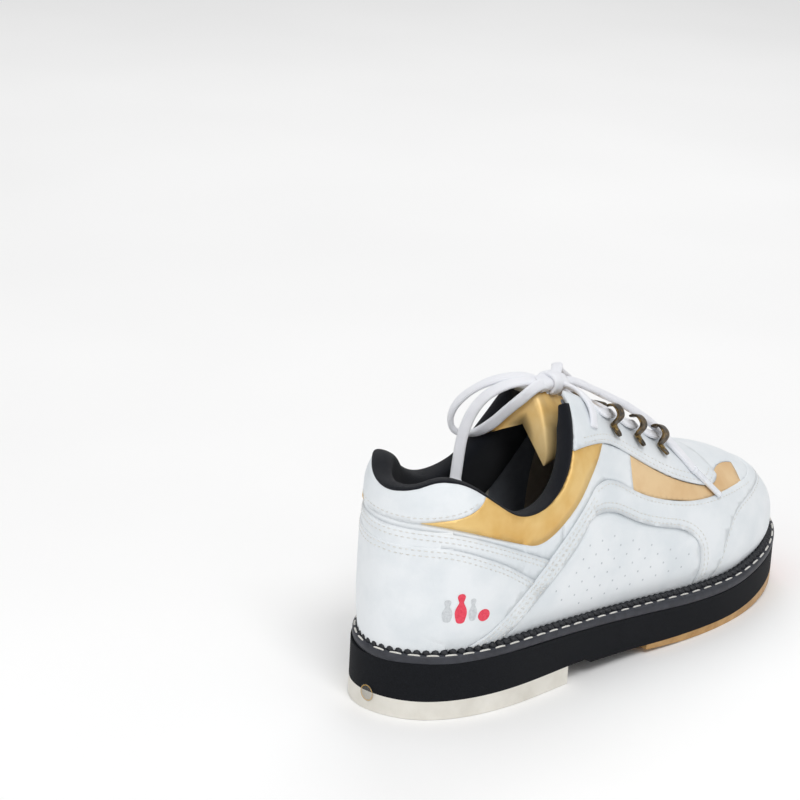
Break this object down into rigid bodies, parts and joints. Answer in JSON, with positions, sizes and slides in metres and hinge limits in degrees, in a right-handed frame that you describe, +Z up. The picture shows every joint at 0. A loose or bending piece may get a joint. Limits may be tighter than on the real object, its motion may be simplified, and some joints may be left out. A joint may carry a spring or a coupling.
{
  "type": "bowling shoe",
  "caption": "Low-cut lace-up bowling shoe with speed hooks, padded collar and tongue, stitched welt, flat heel and smooth sliding sole.",
  "frame": {"origin": "centre of the bounding box in plan, at the underside of the heel and sole", "axes": "+X toward the toe, +Y toward the inner (medial) side of a right shoe, +Z up"},
  "size_m": [0.2855, 0.0989, 0.138],
  "materials": {
    "aglet": "clear film wrap",
    "beige_textile": "woven lining, matte",
    "black_rubber": "moulded rubber, satin",
    "black_textile": "smooth woven lining, matte",
    "facing_textile": "woven reinforcement, matte",
    "fibre_board": "pressed fibre board, matte",
    "foam": "soft open-cell foam, matte",
    "gold_leather": "coated leather, satin",
    "grey_mesh": "knitted mesh, matte",
    "heel_rubber": "crepe rubber, matte",
    "hook_metal": "antique finish over brass",
    "label": "thin film label",
    "lace": "flat woven cotton lace",
    "red_rubber": "moulded rubber, matte",
    "slide_leather": "microfibre sliding sole, napped",
    "spring_steel": "rolled strip",
    "welt_leather": "dyed leather, satin",
    "white_leather": "smooth coated leather, semi-gloss"
  },
  "bodies": {
    "shoe": {"aglet_front": "aglet", "aglet_rear": "aglet", "bow_loop_front": "lace", "bow_loop_rear": "lace", "collar_foam": "foam", "collar_lining": "black_textile", "eyestay_facing_lateral": "facing_textile", "eyestay_facing_medial": "facing_textile", "eyestay_lateral": "white_leather", "eyestay_medial": "white_leather", "footbed": "grey_mesh", "heel": "heel_rubber", "heel_band": "white_leather", "heel_counter": "white_leather", "heel_stiffener": "fibre_board", "heel_tab": "white_leather", "hook_rivets_lateral": "hook_metal", "hook_rivets_medial": "hook_metal", "insole_board": "fibre_board", "lace_bar": "lace", "lace_crossing_inner": "lace", "lace_crossing_outer": "lace", "lace_end_front": "lace", "lace_end_rear": "lace", "lace_hook_lateral_1": "hook_metal", "lace_hook_lateral_2": "hook_metal", "lace_hook_lateral_3": "hook_metal", "lace_hook_medial_1": "hook_metal", "lace_hook_medial_2": "hook_metal", "lace_hook_medial_3": "hook_metal", "lace_knot": "lace", "lace_top_lateral": "lace", "lace_top_medial": "lace", "midsole": "black_rubber", "outsole": "slide_leather", "quarter_gold_lateral": "gold_leather", "quarter_gold_medial": "gold_leather", "quarter_lining": "grey_mesh", "rear_quarter": "white_leather", "saddle_bar_lateral": "white_leather", "saddle_bar_medial": "white_leather", "shank": "spring_steel", "side_panel_lateral": "white_leather", "side_panel_medial": "white_leather", "side_strap_lateral": "white_leather", "side_strap_medial": "white_leather", "size_label": "label", "sole_filler": "fibre_board", "toe_cap": "white_leather", "toe_guard": "red_rubber", "toe_puff": "fibre_board", "vamp_gold_lateral": "gold_leather", "vamp_gold_medial": "gold_leather", "vamp_lining": "beige_textile", "vamp_top": "white_leather", "welt": "welt_leather"},
    "tongue": {"tongue_cover": "gold_leather", "tongue_foam": "foam", "tongue_lining": "black_textile"}
  },
  "joints": [
    {"name": "tongue_hinge", "type": "hinge", "parent": "shoe", "child": "tongue", "pos_m": [0.0605, 0, 0.076], "axis": [0, 1, 0], "range_deg": [-12, 0], "stiffness_Nm_per_rad": 0.7}
  ]
}
